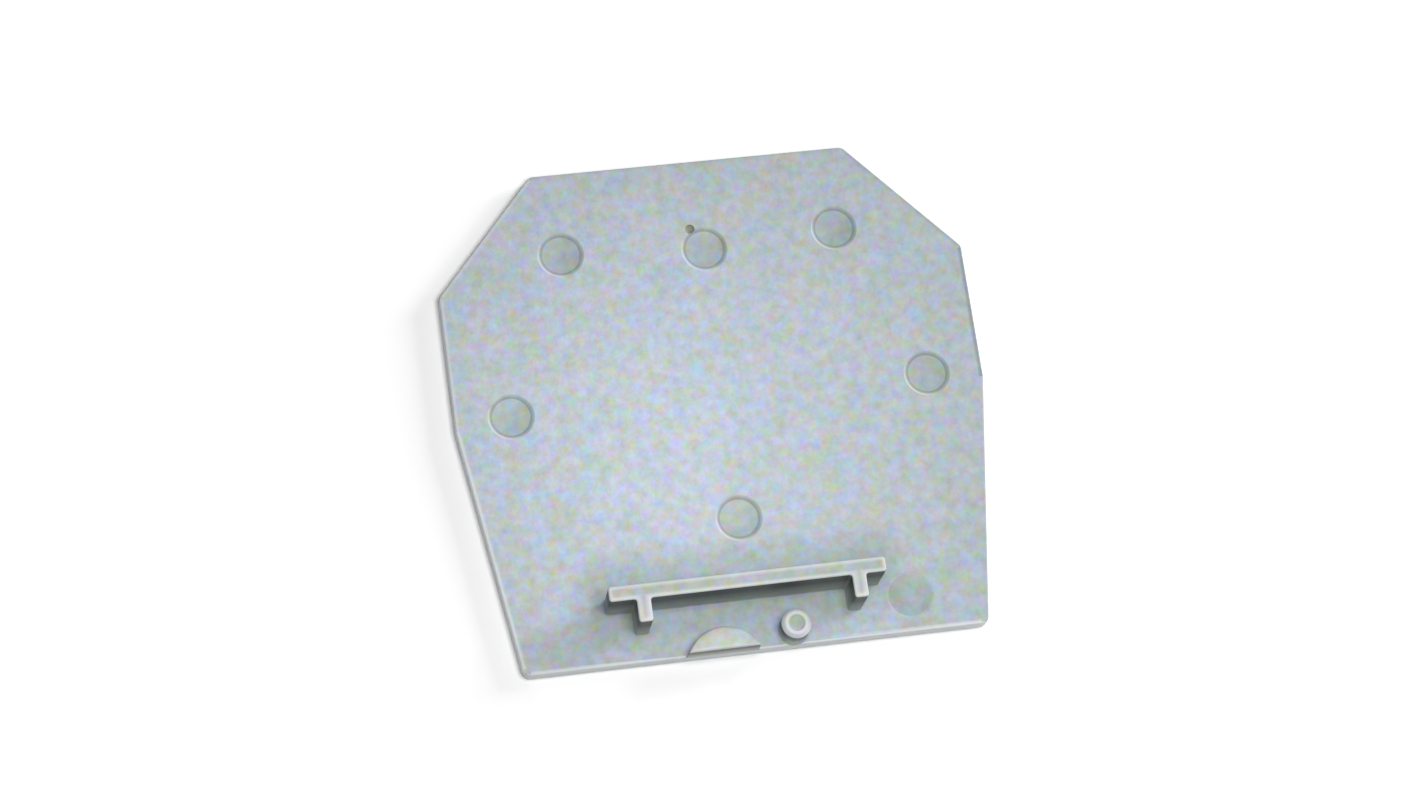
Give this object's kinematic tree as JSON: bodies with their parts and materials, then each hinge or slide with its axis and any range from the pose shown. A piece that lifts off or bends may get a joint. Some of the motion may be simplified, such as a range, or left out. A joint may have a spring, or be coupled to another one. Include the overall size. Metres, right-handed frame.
{
  "type": "terminal block partition plate",
  "caption": "Thin moulded plate with two clipped corners that separates neighbouring rail mounted terminal blocks, with a raised bar, a locating pin and a half round lug.",
  "frame": {"origin": "middle of the outline's bounding rectangle, on the back face that the plate lies on", "axes": "+X across the plate to the right, +Y from the lower edge (bar, pin, lug) to the upper edge, +Z out of the front face"},
  "size_m": [0.05, 0.048, 0.0065],
  "materials": {
    "moulding": "fine matte moulded"
  },
  "bodies": {
    "root": {"partition_plate": "moulding"}
  },
  "joints": []
}
